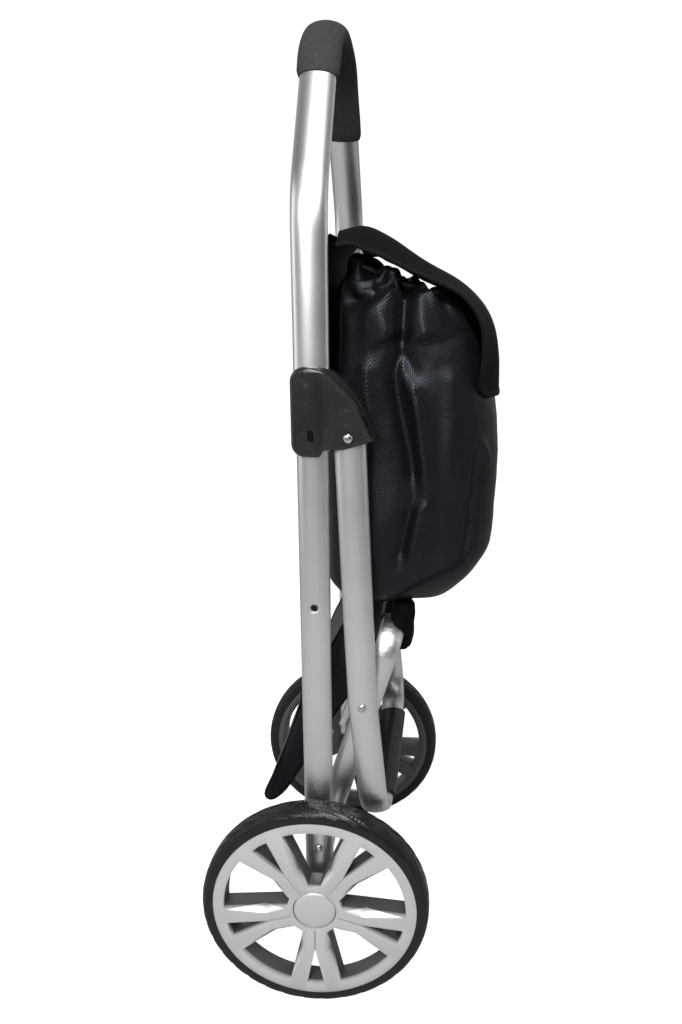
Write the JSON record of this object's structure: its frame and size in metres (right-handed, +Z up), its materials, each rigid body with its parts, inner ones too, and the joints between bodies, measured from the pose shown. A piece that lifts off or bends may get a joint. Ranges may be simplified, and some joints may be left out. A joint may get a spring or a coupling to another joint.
{
  "type": "folding shopping trolley",
  "caption": "Folding two-wheel shopping trolley with a telescoping arched handle, swing-out front leg and base frame, spoked wheels and a black fabric bag.",
  "frame": {"origin": "middle of the box's footprint on the floor, under the folded trolley", "axes": "+Z up, -Y towards the bag at the front, +X to the left of someone who stands behind it and pushes, so the wheels' axle lies along X"},
  "size_m": [0.395, 0.3448, 1.153],
  "materials": {
    "aluminium": "satin anodised",
    "steel": "zinc plated",
    "black_plastic": "moulded, satin black",
    "silver_plastic": "moulded, silver grey",
    "foam": "closed-cell foam, matt",
    "rubber": "matt black rubber",
    "bag_fabric": "black coated oxford weave with a slight sheen"
  },
  "bodies": {
    "lower_frame": {"leg_tube_left": "aluminium", "axle_bracket_left": "silver_plastic", "latch_spring_left": "steel", "base_pivot_screw_left": "steel", "axle_spacer_left": "black_plastic", "axle_clip_left": "steel", "leg_tube_right": "aluminium", "axle_bracket_right": "silver_plastic", "latch_spring_right": "steel", "base_pivot_screw_right": "steel", "axle_spacer_right": "black_plastic", "axle_clip_right": "steel", "axle": "steel"},
    "handle_frame": {"handle_tube": "aluminium", "handle_grip": "foam", "bag_rail": "steel", "bag_hanger": "bag_fabric", "bag_body": "bag_fabric", "shoulder_outer_left": "black_plastic", "shoulder_inner_left": "black_plastic", "shoulder_screw_left": "steel", "shoulder_outer_right": "black_plastic", "shoulder_inner_right": "black_plastic", "shoulder_screw_right": "steel"},
    "lock_button_left": {"lock_button_left": "black_plastic"},
    "lock_button_right": {"lock_button_right": "black_plastic"},
    "bag_flap": {"bag_flap": "bag_fabric"},
    "front_leg": {"front_leg_tube": "aluminium", "foot_sleeve": "rubber", "leg_end_plug_left": "black_plastic", "link_screw_left": "steel", "leg_end_plug_right": "black_plastic", "link_screw_right": "steel"},
    "base_frame": {"base_tube": "aluminium", "base_sleeve": "rubber", "pivot_bush_left": "black_plastic", "link_bush_left": "black_plastic", "pivot_bush_right": "black_plastic", "link_bush_right": "black_plastic"},
    "bag_bottom": {"bag_base": "bag_fabric"},
    "wheel_left": {"tyre_left": "rubber", "rim_left": "silver_plastic", "wheel_bush_left": "black_plastic", "hub_cap_left": "silver_plastic"},
    "wheel_right": {"tyre_right": "rubber", "rim_right": "silver_plastic", "wheel_bush_right": "black_plastic", "hub_cap_right": "silver_plastic"}
  },
  "joints": [
    {"name": "handle_slide", "type": "slide", "parent": "lower_frame", "child": "handle_frame", "axis": [0, 0, 1], "range_m": [-0.198, 0]},
    {"name": "front_leg_swing", "type": "hinge", "parent": "handle_frame", "child": "front_leg", "pos_m": [0, -0.00735, 0.721], "axis": [1, 0, 0], "range_deg": [-28, 0]},
    {"name": "base_frame_swing", "type": "hinge", "parent": "lower_frame", "child": "base_frame", "pos_m": [0, 0.03265, 0.2015], "axis": [1, 0, 0], "range_deg": [0, 63]},
    {"name": "bag_bottom_swing", "type": "hinge", "parent": "base_frame", "child": "bag_bottom", "pos_m": [0, -0.0536, 0.48361], "axis": [1, 0, 0], "range_deg": [-16.5, 0]},
    {"name": "bag_flap_lift", "type": "hinge", "parent": "handle_frame", "child": "bag_flap", "pos_m": [0, 0.01115, 0.929], "axis": [-1, 0, 0], "range_deg": [0, 80]},
    {"name": "lock_button_left_press", "type": "slide", "parent": "handle_frame", "child": "lock_button_left", "axis": [-1, 0, 0], "range_m": [0, 0.003], "stiffness_N_per_m": 600, "springref_m": -0.002},
    {"name": "wheel_left_spin", "type": "hinge", "parent": "lower_frame", "child": "wheel_left", "pos_m": [0.18, 0.03265, 0.1397], "axis": [1, 0, 0], "continuous": true},
    {"name": "lock_button_right_press", "type": "slide", "parent": "handle_frame", "child": "lock_button_right", "axis": [1, 0, 0], "range_m": [0, 0.003], "stiffness_N_per_m": 600, "springref_m": -0.002},
    {"name": "wheel_right_spin", "type": "hinge", "parent": "lower_frame", "child": "wheel_right", "pos_m": [-0.18, 0.03265, 0.1397], "axis": [1, 0, 0], "continuous": true}
  ],
  "couplings": [
    {"joint": "front_leg_swing", "follows": "handle_slide", "rad_per_m": 2.4173},
    {"joint": "base_frame_swing", "follows": "handle_slide", "rad_per_m": -5.5275},
    {"joint": "bag_bottom_swing", "follows": "handle_slide", "rad_per_m": 1.4104}
  ]
}
